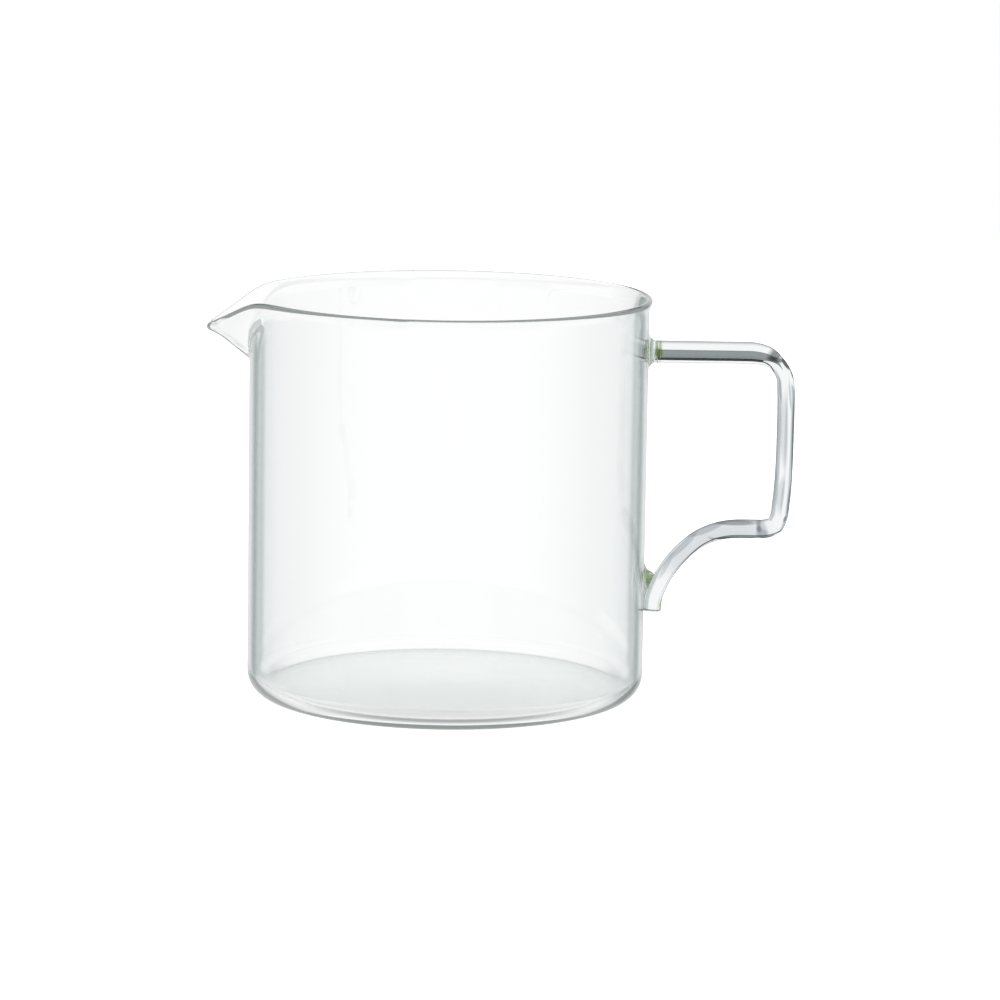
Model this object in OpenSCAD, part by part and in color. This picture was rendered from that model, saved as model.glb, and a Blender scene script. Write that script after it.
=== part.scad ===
// Coffee server of heat-resistant glass: a blown straight-sided body with a pulled pouring spout, and a
// handle bent from solid glass rod, fused to the wall by a gather of glass at each end.
// Lengths are in millimetres and angles in degrees. The origin is the middle of the foot ring, on the
// table. +Z is up, the handle points along +X and the spout along -X.

/* [Body] */
// Outside diameter of the straight wall
body_d = 83.8; // [74:0.2:100]
// Height from the table to the top of the rim
body_h = 85; // [80:0.5:110]
// Thickness of the wall
wall = 1.4; // [1:0.1:1.8]
// Thickness of the floor
floor_thick = 1.8; // [1.2:0.1:3]
// Outer radius of the heel, where the wall turns in to the floor
heel_r = 5.4; // [4:0.2:8]
// Width of the flat ring that stands on the table
foot_ring_w = 3; // [1.5:0.5:6]
// Height of the hollow under the middle of the floor
push_up = 1; // [0.4:0.1:2]

/* [Rim] */
// How far the rim stands out from the wall
rim_flare = 0.6; // [0.3:0.1:1.2]
// Thickness of the fire-polished rim
rim_thick = 1.6; // [1.6:0.1:2.2]
// Height of the flared band below the rounded edge
flare_h = 2.4; // [1.6:0.2:5]

/* [Spout] */
// Distance from the wall to the outermost point of the tip
spout_reach = 9.2; // [7.6:0.2:11]
// How far the tip lies below the rim
lip_drop = 6; // [4.5:0.25:7.5]
// Angle at the middle of the body between the tip and where the lip leaves the rim
spout_spread = 18.5; // [17:0.25:20]
// Slope of the keel, which runs up from the wall to the tip
keel_angle = 38; // [33:1:42]
// Outer radius across the keel
keel_r = 2.2; // [2.1:0.1:3]

/* [Handle] */
// Distance from the wall to the outside of the grip
handle_reach = 30.9; // [26:0.1:38]
// Distance from the rim down to the middle of the top bar
bar_drop = 11.4; // [10:0.2:14]
// Distance from the middle of the top bar down to the middle of the lower bar
grip_h = 37.4; // [34:0.2:42]
// Diameter of the rod along the top bar
bar_d = 4.7; // [4:0.1:5.5]
// Diameter of the rod along the grip, its bends and the lower bar
grip_d = 3.7; // [3.2:0.1:4.6]
// Diameter of the rod along the tail
tail_d = 3.8; // [3.4:0.1:4.4]
// Lean of the grip towards the body at its lower end
grip_lean = 0.8; // [0:0.2:4]
// Radius of the upper bend, at the middle of the rod
upper_bend_r = 6.6; // [5:0.2:9]
// Radius of the lower bend, at the middle of the rod
lower_bend_r = 3.1; // [2.6:0.1:5]
// Distance from the wall to where the lower bar turns down
knee_reach = 18.6; // [17:0.2:21]
// Radius of the knee, at the middle of the rod
knee_r = 11; // [8:0.5:14]
// Turn of the knee, before the rod takes the tail's diameter
knee_turn = 40; // [36:1:46]
// Distance from the middle of the lower bar down to the foot of the tail
tail_drop = 17.9; // [16.5:0.1:20]
// Length over which the rod goes from the grip's diameter to the tail's
tail_taper = 3; // [2:0.5:5]
// Length over which the rod narrows from top bar to grip
bar_taper = 2; // [1.2:0.2:5]

/* [Welds] */
// Diameter of the round gather at the upper weld
upper_pad_d = 9.6; // [8:0.2:11]
// Distance from the wall to the seam between the gather and the rod
upper_pad_reach = 2.4; // [1.8:0.1:3.5]
// Thickness of each gather at its edge
pad_edge = 0.5; // [0.3:0.1:0.9]
// Height of the lower gather
lower_pad_h = 9.9; // [8:0.1:12]
// Width of the lower gather, across the handle
lower_pad_w = 6; // [5:0.2:8]
// Distance from the wall to the seam at the foot of the tail
lower_pad_reach = 0.5; // [0.4:0.1:1.2]
// How much lower the gather ends at the tail than at the wall
lower_pad_slope = 2.2; // [1:0.2:4]

/* [Hidden] */

// Steps of a round stretch of an outline, and facets of what turns about an axis
arc_steps = 10;
$fn = 128;
rod_facets = 48;

// How far a cut runs past what it cuts
overrun = 2;
// How far a straight stretch laps into a bend, and how much fuller the bend is
rod_lap = 0.2;
bend_swell = 0.02;

// Colours
glass_tint = [0.86, 0.92, 0.91, 0.45];
rod_tint = [0.72, 0.80, 0.80, 0.6];
weld_tint = [0.62, 0.72, 0.56, 0.7];

// Radii of the body
body_r = body_d / 2;
inner_r = body_r - wall;
ring_out = body_r - heel_r;
ring_in = ring_out - foot_ring_w;
inner_heel_r = heel_r - wall;
rim_r = body_r + rim_flare;
bead_r = rim_thick / 2;
bead_mid_r = rim_r - bead_r;
bead_mid_z = body_h - bead_r;

// Points of an arc about a centre, between two angles
function arc(centre, r, from, to) = [
    for (i = [0:arc_steps])
        let (a = from + (to - from) * i / arc_steps)
        [centre.x + r * cos(a), centre.y + r * sin(a)]
];

// Points of the shallow dome of the floor, from its middle to the foot ring
function dome(base_z) = [
    for (i = [0:arc_steps])
        let (r = ring_in * i / arc_steps)
        [r, base_z + push_up * (1 - pow(r / ring_in, 2))]
];

function reversed(points) = [for (i = [len(points) - 1:-1:0]) points[i]];

// Body

// The body as if it were solid glass
module body_outside() {
    rotate_extrude()
        polygon(concat(
            dome(0),
            arc([ring_out, heel_r], heel_r, -90, 0),
            [[body_r, bead_mid_z - flare_h]],
            arc([bead_mid_r, bead_mid_z], bead_r, 0, 90),
            [[0, body_h]]
        ));
}

// The space inside, open at the top
module body_inside() {
    rotate_extrude()
        polygon(concat(
            [[0, body_h + overrun], [bead_mid_r, body_h + overrun]],
            arc([bead_mid_r, bead_mid_z], bead_r, 90, 180),
            [[inner_r, bead_mid_z - flare_h]],
            reversed(arc([ring_out, floor_thick + inner_heel_r], inner_heel_r, -90, 0)),
            reversed(dome(floor_thick))
        ));
}

// Spout: a trough with a rounded keel, cut off by the sloping lip, which has a round edge like the rim's

// How far the round edge stands out from the trough, and its middle line at the tip and at the rim
bead_proud = 0.15;
keel_to_bead = bead_r - bead_proud;
tip_x = body_r + spout_reach - bead_r;
tip_z = bead_mid_z - lip_drop;
lip_end_x = bead_mid_r * cos(spout_spread);
lip_end_y = bead_mid_r * sin(spout_spread);
lip_angle = atan(lip_drop / (tip_x - lip_end_x));

// The keel meets the wall at this height
keel_z = tip_z - keel_to_bead / cos(keel_angle) - (tip_x - body_r) * tan(keel_angle);

// In the plane of the lip, each side is a tangent from the tip's curve to the rim
tip_curve_r = keel_r - keel_to_bead;
lip_run = (tip_x - lip_end_x) / cos(lip_angle) - tip_curve_r;
lip_reach = norm([lip_run, lip_end_y]);
lip_half_angle = atan(lip_end_y / lip_run) - asin(tip_curve_r / lip_reach);
lip_side = sqrt(pow(lip_reach, 2) - pow(tip_curve_r, 2));
tip_curve_turn = 90 - lip_half_angle;

// Angle between a side of the trough and its middle plane, across the keel
trough_half_angle = atan(tan(lip_half_angle) / sin(keel_angle + lip_angle));

// The trough starts well inside the body, where it is cut away again
trough_back = inner_r / 2;

// The trough as a solid bar along the keel, its walls drawn in by inset
module trough(inset) {
    h = trough_half_angle;
    r = keel_r - inset;
    top_x = r * cos(h) + body_r * sin(h);
    top_y = keel_r - r * sin(h) + body_r * cos(h);
    translate([-body_r, 0, keel_z])
        rotate([0, keel_angle, 0])
            rotate([90, 0, -90])
                translate([0, 0, -trough_back])
                    linear_extrude(trough_back + body_r)
                        polygon(concat(
                            arc([0, keel_r], r, -180 + h, -h),
                            [[top_x, top_y], [-top_x, top_y]]
                        ));
}

// The space that the trough's glass may fill: under the middle of the round edge, back from the tip
module under_lip() {
    rotate([90, 0, 0])
        linear_extrude(body_d, center = true)
            polygon([
                [-tip_x, keel_z - overrun],
                [-tip_x, tip_z],
                [-lip_end_x, bead_mid_z],
                [-trough_back, bead_mid_z],
                [-trough_back, keel_z - overrun]
            ]);
}

// The round edge of the lip: a curve at the tip and a straight side each way to the rim
module lip_bead() {
    translate([-tip_x, 0, tip_z])
        rotate([0, -lip_angle, 0])
            translate([tip_curve_r, 0, 0]) {
                rotate([0, 0, 180 - tip_curve_turn])
                    rotate_extrude(angle = 2 * tip_curve_turn)
                        translate([tip_curve_r, 0])
                            circle(r = bead_r, $fn = rod_facets);
                for (s = [-1, 1])
                    translate([-tip_curve_r * cos(tip_curve_turn), s * tip_curve_r * sin(tip_curve_turn), 0])
                        rotate([0, 90, s * lip_half_angle])
                            translate([0, 0, -rod_lap])
                                cylinder(h = rod_lap + lip_side, r = bead_r - bend_swell, $fn = rod_facets);
            }
}

module glass_body() {
    color(glass_tint)
        union() {
            difference() {
                union() {
                    body_outside();
                    intersection() {
                        trough(0);
                        under_lip();
                    }
                }
                body_inside();
                trough(wall);
            }
            lip_bead();
        }
}

// Handle: the rod's middle line runs through these points in the plane y = 0, written as [x, z]

bar_z = body_h - bar_drop;
grip_x = body_r + handle_reach - grip_d / 2;
bar_start = [body_r + upper_pad_reach, bar_z];
upper_bend_mid = [grip_x - upper_bend_r, bar_z - upper_bend_r];
bar_end = [upper_bend_mid.x, bar_z];
taper_start = [bar_end.x - bar_taper, bar_z];
grip_top = upper_bend_mid + upper_bend_r * [cos(grip_lean), -sin(grip_lean)];
lower_z = bar_z - grip_h;
grip_low_z = lower_z + lower_bend_r * (1 - sin(grip_lean));
grip_low = [grip_top.x - (grip_top.y - grip_low_z) * tan(grip_lean), grip_low_z];
lower_bend_mid = [grip_low.x - lower_bend_r * cos(grip_lean), lower_z + lower_bend_r];
lower_bar_start = [lower_bend_mid.x, lower_z];
knee_start = [body_r + knee_reach, lower_z];
knee_mid = [knee_start.x, lower_z - knee_r];
knee_end = knee_mid + knee_r * [-sin(knee_turn), cos(knee_turn)];
tail_start = knee_end - tail_taper * [cos(knee_turn), sin(knee_turn)];

// The tail is an arc from the end of the knee to the foot, where the seam with the gather cuts into it
seam_share = 0.2;
foot_z = lower_z - tail_drop;
foot = [body_r + lower_pad_reach + tail_d * seam_share, foot_z];
tail_chord = tail_start - foot;
tail_turn = 2 * (atan2(tail_chord.y, tail_chord.x) - knee_turn);
tail_r = norm(tail_chord) / 2 / sin(tail_turn / 2);
tail_mid = tail_start + tail_r * [sin(knee_turn), -cos(knee_turn)];
seam_angle = knee_turn + tail_turn;

// Extra turn that carries the tail past the level cut of its foot
foot_spare = 3;

// A straight stretch of rod that starts at a point and heads for another, and is shaped by an outline of
// [distance, diameter] pairs
module stretch(from, to, outline) {
    run = to - from;
    last = outline[len(outline) - 1];
    translate([from.x, 0, from.y])
        rotate([0, atan2(run.x, run.y), 0])
            rotate_extrude($fn = rod_facets)
                polygon(concat(
                    [[0, outline[0].x]],
                    [for (p = outline) [p.y / 2, p.x]],
                    [[0, last.x]]
                ));
}

// A straight stretch whose two ends lap into the bends that it joins
module lapped(from, to, from_d, to_d) {
    run = norm(to - from);
    stretch(from, to, [[-rod_lap, from_d], [0, from_d], [run, to_d], [run + rod_lap, to_d]]);
}

// A bend of rod about a middle point, from an angle in the handle's plane through a turn
module bend(middle, r, rod_d, from, turn) {
    translate([middle.x, 0, middle.y])
        rotate([90, 0, 0])
            rotate([0, 0, from])
                rotate_extrude(angle = turn)
                    translate([r, 0])
                        circle(d = rod_d + 2 * bend_swell, $fn = rod_facets);
}

module handle_rod() {
    bar_run = taper_start.x - bar_start.x;
    color(rod_tint)
        difference() {
            union() {
                stretch(bar_start, bar_end, [
                    [0, bar_d],
                    [bar_run, bar_d],
                    [bar_run + bar_taper, grip_d],
                    [bar_run + bar_taper + rod_lap, grip_d]
                ]);
                bend(upper_bend_mid, upper_bend_r, grip_d, -grip_lean, 90 + grip_lean);
                lapped(grip_top, grip_low, grip_d, grip_d);
                bend(lower_bend_mid, lower_bend_r, grip_d, -90, 90 - grip_lean);
                lapped(lower_bar_start, knee_start, grip_d, grip_d);
                bend(knee_mid, knee_r, grip_d, 90, knee_turn);
                lapped(knee_end, tail_start, grip_d, tail_d);
                bend(tail_mid, tail_r, tail_d, 90 + knee_turn, tail_turn + foot_spare);
            }
            wall_side(lower_pad_h + overrun, overrun);
            translate([0, -bar_d, 0])
                cube([body_d, 2 * bar_d, foot_z]);
        }
}

// Welds

// What lies on the wall's side of the lower seam, from the foot up to a height at the seam
module wall_side(seam_h, past) {
    seam_x = body_r + lower_pad_reach;
    rotate([90, 0, 0])
        linear_extrude(2 * lower_pad_w, center = true)
            polygon([
                [inner_r, foot_z - past],
                [seam_x - past / tan(seam_angle), foot_z - past],
                [seam_x + seam_h / tan(seam_angle), foot_z + seam_h],
                [body_r, foot_z + lower_pad_h + past],
                [inner_r, foot_z + lower_pad_h + past]
            ]);
}

// A round gather that swells from the rod to the wall
module upper_weld_pad() {
    swell = upper_pad_reach - pad_edge;
    neck_r = bar_d / 2;
    color(weld_tint)
        difference() {
            translate([body_r, 0, bar_z])
                rotate([0, 90, 0])
                    rotate_extrude($fn = rod_facets)
                        polygon(concat(
                            [[0, -wall], [upper_pad_d / 2, -wall], [upper_pad_d / 2, pad_edge]],
                            reversed(arc([neck_r + swell, upper_pad_reach], swell, 180, 270)),
                            [[0, upper_pad_reach]]
                        ));
            cylinder(h = body_h, r = body_r);
        }
}

// A wedge with rounded ends, between the wall and the tail
module lower_weld_pad() {
    round_r = lower_pad_w / 2;
    color(weld_tint)
        difference() {
            intersection() {
                wall_side(lower_pad_h - lower_pad_slope, 0);
                translate([inner_r, 0, foot_z])
                    rotate([90, 0, 90])
                        linear_extrude(wall + bar_d)
                            polygon(concat(
                                arc([0, round_r], round_r, -180, 0),
                                arc([0, lower_pad_h - round_r], round_r, 0, 180)
                            ));
            }
            cylinder(h = body_h, r = body_r);
        }
}

glass_body();
handle_rod();
upper_weld_pad();
lower_weld_pad();
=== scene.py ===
"""Looks of a coffee server in clear heat-resistant glass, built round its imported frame.

The server is all glass: a blown body with a pulled pouring spout, a handle bent from solid rod, and a
gather of glass at each end of the rod that fuses it to the wall. Everything is in metres, in the frame's
own axes: +Z is up, the handle points along +X and the spout along -X.
"""

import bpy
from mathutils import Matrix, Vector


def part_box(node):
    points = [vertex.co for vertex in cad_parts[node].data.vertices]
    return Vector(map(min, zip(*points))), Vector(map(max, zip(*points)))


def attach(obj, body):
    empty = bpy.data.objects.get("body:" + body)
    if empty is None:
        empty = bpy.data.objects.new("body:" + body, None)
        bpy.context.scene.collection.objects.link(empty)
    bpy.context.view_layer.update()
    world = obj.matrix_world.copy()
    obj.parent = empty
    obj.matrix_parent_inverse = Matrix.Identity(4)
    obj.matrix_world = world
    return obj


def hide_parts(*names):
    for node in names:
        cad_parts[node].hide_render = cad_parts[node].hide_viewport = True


bl_info = {
    "name": "Glass coffee server",
    "version": (1, 0, 0),
    "blender": (4, 5, 0),
    "location": "3D View > Sidebar > Glass server",
    "description": "Builds a coffee server of blown and rod glass with its stage",
    "category": "Mesh",
}

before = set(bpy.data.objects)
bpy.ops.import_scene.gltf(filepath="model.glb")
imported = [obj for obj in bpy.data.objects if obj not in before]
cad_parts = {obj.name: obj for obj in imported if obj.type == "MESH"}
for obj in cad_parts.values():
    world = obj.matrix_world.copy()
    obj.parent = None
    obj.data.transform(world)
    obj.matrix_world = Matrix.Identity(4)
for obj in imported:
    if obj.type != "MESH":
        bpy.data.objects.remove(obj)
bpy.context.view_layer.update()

import math

import bpy
import numpy as np
from bpy.props import FloatProperty, FloatVectorProperty, PointerProperty
from mathutils import Matrix, Vector

MM = 0.001

BODY_LOW, BODY_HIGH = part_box("glass_body")


# Sizes and colours that a user would change

def length(name, description, default, low, high):
    """A size in metres, given here in millimetres."""
    return FloatProperty(
        name=name,
        description=description,
        default=default * MM,
        min=low * MM,
        max=high * MM,
        unit="LENGTH",
        precision=5,
    )


def linear(word):
    """An sRGB hex word as linear red, green, blue and alpha."""
    parts = [int(word[i:i + 2], 16) / 255 for i in (1, 3, 5)]
    return tuple(p / 12.92 if p <= 0.04045 else ((p + 0.055) / 1.055) ** 2.4 for p in parts) + (1.0,)


def colour(name, description, default):
    """A colour, given here as an sRGB hex word."""
    return FloatVectorProperty(
        name=name, description=description, default=linear(default), size=4, min=0, max=1, subtype="COLOR"
    )


class ServerBodySizes(bpy.types.PropertyGroup):
    """Sizes of the blown body."""

    wall: length("Wall", "Thickness of the blown wall", 1.4, 1.0, 1.8)
    floor: length("Floor", "Thickness of the floor", 1.8, 1.2, 3.0)
    heel: length("Heel", "Outer radius where the wall turns in to the floor", 4.9, 4.0, 8.0)
    foot_ring: length("Foot ring", "Width of the flat ring that stands on the table", 3.0, 1.5, 6.0)
    push_up: length("Push-up", "Height of the hollow under the middle of the floor", 1.0, 0.4, 2.0)
    rim: length("Rim", "Thickness of the fire-polished rim", 1.4, 1.0, 1.8)
    flare: length("Flare", "How far the rim stands out from the wall", 0.6, 0.3, 1.2)
    flare_height: length("Flare height", "Height of the flared band under the rim", 2.4, 1.2, 5.0)
    lip_drop: length("Lip drop", "How far the tip of the spout lies below the rim", 6.8, 5.0, 9.0)
    keel_radius: length("Keel radius", "Radius of the wall's middle across the spout's keel", 1.4, 0.6, 2.0)


class ServerHandleSizes(bpy.types.PropertyGroup):
    """Sizes of the bent rod and its gathers."""

    upper_gather: length("Upper gather", "Diameter of the gather of the top bar at the wall", 9.4, 8.0, 11.0)
    lower_gather: length("Lower gather", "Width of the gather at the foot of the rod", 6.0, 5.0, 8.0)
    wall_bulge: length("Wall bulge", "How far the softened wall bulges in behind each gather", 0.7, 0.0, 1.6)


class ServerColours(bpy.types.PropertyGroup):
    """Colours of the glass in thick pieces and of the stage."""

    body: colour("Body glass", "What the wall's glass lets through, seen deep", "#E6EEEC")
    rod: colour("Rod glass", "What the rod's glass lets through, seen deep", "#D3DBDC")
    table: colour("Table", "The table and the backdrop", "#FFFFFF")
    flag: colour("Flags", "The dark cards at the sides of the studio", "#C6CCCE")


# Small helpers

def start_clean():
    """Leaves edit mode and deselects everything."""
    if bpy.context.object and bpy.context.object.mode != "OBJECT":
        bpy.ops.object.mode_set(mode="OBJECT")
    bpy.ops.object.select_all(action="DESELECT")


def node(tree, kind, settings=None, inputs=None, links=None):
    """Adds a node, sets its settings and its input values, and links its inputs from other nodes' outputs."""
    n = tree.nodes.new(kind)
    for key, value in (settings or {}).items():
        setattr(n, key, value)
    for key, value in (inputs or {}).items():
        n.inputs[key].default_value = value
    for key, output in (links or {}).items():
        tree.links.new(output, n.inputs[key])
    return n


def points_of(obj):
    """The places of a mesh's vertices, in metres."""
    places = np.empty(len(obj.data.vertices) * 3)
    obj.data.vertices.foreach_get("co", places)
    return places.reshape(-1, 3)


def put_points(obj, places):
    """Puts a mesh's vertices at their new places."""
    obj.data.vertices.foreach_set("co", np.ascontiguousarray(places, float).ravel())
    obj.data.update()


def start_outline(name, first):
    """Starts an outline of one point in edit mode, from a small plane merged to its middle."""
    start_clean()
    bpy.ops.mesh.primitive_plane_add(size=MM, location=(0, 0, 0))
    obj = bpy.context.object
    obj.name = obj.data.name = name
    bpy.ops.object.mode_set(mode="EDIT")
    bpy.ops.mesh.merge(type="CENTER")
    bpy.ops.transform.translate(value=first)
    return obj


def draw_outline(points):
    """Extrudes the selected point along the outline, which is left selected as a whole."""
    for a, b in zip(points, points[1:]):
        step = Vector(b) - Vector(a)
        bpy.ops.mesh.extrude_region_move(TRANSFORM_OT_translate={"value": step})
    bpy.ops.mesh.select_all(action="SELECT")


def arc(centre, radius, start, stop, steps):
    """Points of an arc in the plane of radius and height, between two angles in degrees."""
    return [
        (centre[0] + radius * math.cos(math.radians(a)), centre[1] + radius * math.sin(math.radians(a)))
        for a in np.linspace(start, stop, steps + 1)
    ]


def smooth_step(x):
    """Rises from 0 to 1 with no slope at its ends."""
    x = np.clip(x, 0, 1)
    return x * x * (3 - 2 * x)


# Points closer than this are one: in a finished piece, in the spun body and in the spun collar
MERGE = 0.002 * MM
BODY_MERGE = 0.01 * MM
COLLAR_MERGE = 0.005 * MM


def finish_piece(obj, name, material, slot, *nodes):
    """Merges doubles, turns the faces outwards, shades smooth, and hands the piece to the frame."""
    if obj.mode != "EDIT":
        bpy.ops.object.mode_set(mode="EDIT")
    bpy.ops.mesh.select_all(action="SELECT")
    bpy.ops.mesh.remove_doubles(threshold=MERGE)
    bpy.ops.mesh.normals_make_consistent(inside=False)
    bpy.ops.object.mode_set(mode="OBJECT")
    bpy.ops.object.shade_smooth()
    obj.name = obj.data.name = name
    obj.data.materials.clear()
    obj.data.materials.append(material)
    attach(obj, "root")
    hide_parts(*nodes)
    return obj


# Materials

# Borosilicate glass bends light a little less than window glass
BOROSILICATE_IOR = 1.473
CLEAR = "#FFFFFF"
# Waves of hot-worked glass: one octave and a little of the next
WAVE_DETAIL = 1.0
WAVE_ROUGHNESS = 0.4
# Where a spot starts to fade, stain and painted shade alike, as a share of its half sizes
STAIN_AND_SHADE_CORE = 0.6
# Turns inside the glass after which light counts as caught in it, and its tone
CAUGHT_AFTER = (3.4, 3.6)
CAUGHT_TONE = "#EEF5F1"
# Strongest share that the absorption takes of one colour, which sets how the loss is split between the
# colour and the density of the volume
STRONGEST_LOSS = 0.9


def glass_material(name, deep, depth, edge, wave_size, wave_depth, stretch, stains_and_shade=(), glow=0.0):
    """Clear glass. The deep colour is what is left of white after a depth of glass. The edge is a ramp of
    greys against the angle of the surface: partly the long run of a glancing ray inside the wall, partly
    painted shade for the darker studio that the glass bends in at its edges. The waves are the slight
    unevenness of hot-worked glass. A spot is given as its place and half sizes in millimetres, its turn in
    the handle's plane and its hex word: the green ones are stains in the glass, the grey ones are painted
    shade and painted reflections, and a white one takes the painted edge shade off. The glow stands for light
    that stays caught in the glass for longer than a render follows it."""
    old = bpy.data.materials.get(name)
    if old:
        bpy.data.materials.remove(old)
    material = bpy.data.materials.new(name)
    material.use_nodes = True
    tree = material.node_tree
    tree.nodes.clear()
    place = node(tree, "ShaderNodeTexCoord")
    size = node(
        tree,
        "ShaderNodeMapping",
        inputs={"Scale": stretch},
        links={"Vector": place.outputs["Object"]},
    )
    waves = node(
        tree,
        "ShaderNodeTexNoise",
        inputs={"Scale": 1 / wave_size, "Detail": WAVE_DETAIL, "Roughness": WAVE_ROUGHNESS},
        links={"Vector": size.outputs["Vector"]},
    )
    bump = node(
        tree,
        "ShaderNodeBump",
        inputs={"Strength": 1.0, "Distance": wave_depth},
        links={"Height": waves.outputs["Fac"]},
    )
    # Painted shade: the ramp greys the glass where it is seen edge on, partly for the long run of a glancing
    # ray, partly for the darker studio that real glass bends in there
    angle = node(tree, "ShaderNodeLayerWeight", inputs={"Blend": 0.5})
    ramp = node(tree, "ShaderNodeValToRGB", links={"Fac": angle.outputs["Facing"]})
    ramp.color_ramp.interpolation = "EASE"
    while len(ramp.color_ramp.elements) < len(edge):
        ramp.color_ramp.elements.new(0.5)
    for element, (at, word) in zip(ramp.color_ramp.elements, edge):
        element.position = at
        element.color = linear(word)
    tone = ramp.outputs["Color"]
    # Each spot is mixed in: green stains, painted shade and painted reflections are multiplied in, and a
    # white spot lifts the painted edge shade
    for spot, half_size, turn, word in stains_and_shade:
        # The inverse of the half sizes turns the spot into a ball of radius 1 round its place
        ball = node(
            tree,
            "ShaderNodeMapping",
            {"vector_type": "TEXTURE"},
            {
                "Location": Vector(spot) * MM,
                "Rotation": (0, math.radians(turn), 0),
                "Scale": Vector(half_size) * MM,
            },
            {"Vector": place.outputs["Object"]},
        )
        away = node(tree, "ShaderNodeVectorMath", {"operation": "LENGTH"}, links={0: ball.outputs["Vector"]})
        fade = node(
            tree,
            "ShaderNodeMapRange",
            {"interpolation_type": "SMOOTHSTEP"},
            {"From Min": 1.0, "From Max": STAIN_AND_SHADE_CORE},
            {"Value": away.outputs["Value"]},
        )
        stain_and_shade_mix = node(
            tree,
            "ShaderNodeMix",
            {"data_type": "RGBA", "blend_type": "MIX" if word == CLEAR else "MULTIPLY"},
            {7: linear(word)},
            {0: fade.outputs["Result"], 6: tone},
        )
        tone = stain_and_shade_mix.outputs[2]
    # The last number is all that an exported model keeps of the glow, and it is next to nothing
    path = node(tree, "ShaderNodeLightPath")
    caught = node(
        tree,
        "ShaderNodeMapRange",
        inputs={"From Min": CAUGHT_AFTER[0], "From Max": CAUGHT_AFTER[1], "To Max": glow / MM},
        links={"Value": path.outputs["Ray Depth"]},
    )
    strength = node(tree, "ShaderNodeMath", {"operation": "MULTIPLY"}, {1: MM}, {0: caught.outputs["Result"]})
    shader = node(
        tree,
        "ShaderNodeBsdfPrincipled",
        inputs={
            "Roughness": 0.0,
            "IOR": BOROSILICATE_IOR,
            "Transmission Weight": 1.0,
            "Emission Color": linear(CAUGHT_TONE),
        },
        links={
            "Base Color": tone,
            "Normal": bump.outputs["Normal"],
            "Emission Strength": strength.outputs["Value"],
        },
    )
    # Absorption takes (1 - colour) x density from each metre
    loss = [-math.log(share) / depth for share in deep[:3]]
    density = max(loss) / STRONGEST_LOSS
    tint = [1 - one / density for one in loss] + [1.0]
    volume = node(tree, "ShaderNodeVolumeAbsorption", inputs={"Color": tint, "Density": density})
    node(
        tree,
        "ShaderNodeOutputMaterial",
        links={"Surface": shader.outputs["BSDF"], "Volume": volume.outputs["Volume"]},
    )
    return material


# Body: an outline spun round the axis, then drawn out into the spout

# Height where the pull of the spout begins
PULL_Z = 60 * MM
# Steps of the spin: fine across the spout, coarser round the rest
SPOUT_SECTOR = math.radians(60)
SPOUT_STEPS = 120
REST_STEPS = 180
# Rows of the wall below the pull and in it, and points of the outline's other stretches
WALL_ROW = 2 * MM
PULL_ROW = 0.4 * MM
FLOOR_POINTS = 22
HEEL_STEPS = 14
INNER_HEEL_STEPS = 12
RIM_STEPS = 16
# How the hollow under the floor levels off towards its middle
HOLLOW_POWER = 0.8

# Slope of the keel and half the angle between the spout's sides in a level cut
KEEL_SLOPE = math.radians(38)
SIDE_ANGLE = math.radians(34.5)
# How far the fire-polished tip stays behind the end of the pull
TIP_INSET = 0.4 * MM
# How much thicker the glass of the lip gets, as a share, from this far out to the tip
TIP_FULLER = 0.35
TIP_FULLER_START = 44 * MM
TIP_FULLER_LENGTH = 6 * MM
# Rings that the pulling tool leaves inside the wall at the spout's foot: height, spread, depth and turns
CURL_Z = 74.0 * MM
CURL_SPREAD = 4.6 * MM
CURL_DEPTH = 0.12 * MM
CURL_TURNS = 3.2 * math.pi
# The lip falls away from the rim where it is this far from the axis, softly over this distance
LIP_START = 39.5 * MM
LIP_SOFT = 1.2 * MM
# How softly the spout's sides run into the wall, at its foot and at the lip, and how far below the lip the
# softer run begins
FOOT_SOFT = 0.9 * MM
LIP_CORNER_SOFT = 8 * MM
SOFTER_FROM = 12 * MM
# The spout is looked for only where the cosine of the turn from it is more than this, and the curls are
# kept nearer to it still
SPOUT_SIDE = 0.2
CURL_SIDE = 0.5
# Half steps that bring the lip's height and reach together, and the step that finds the wall's directions
LIP_ROUNDS = 8
SLOPE_STEP = 0.02 * MM


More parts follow.
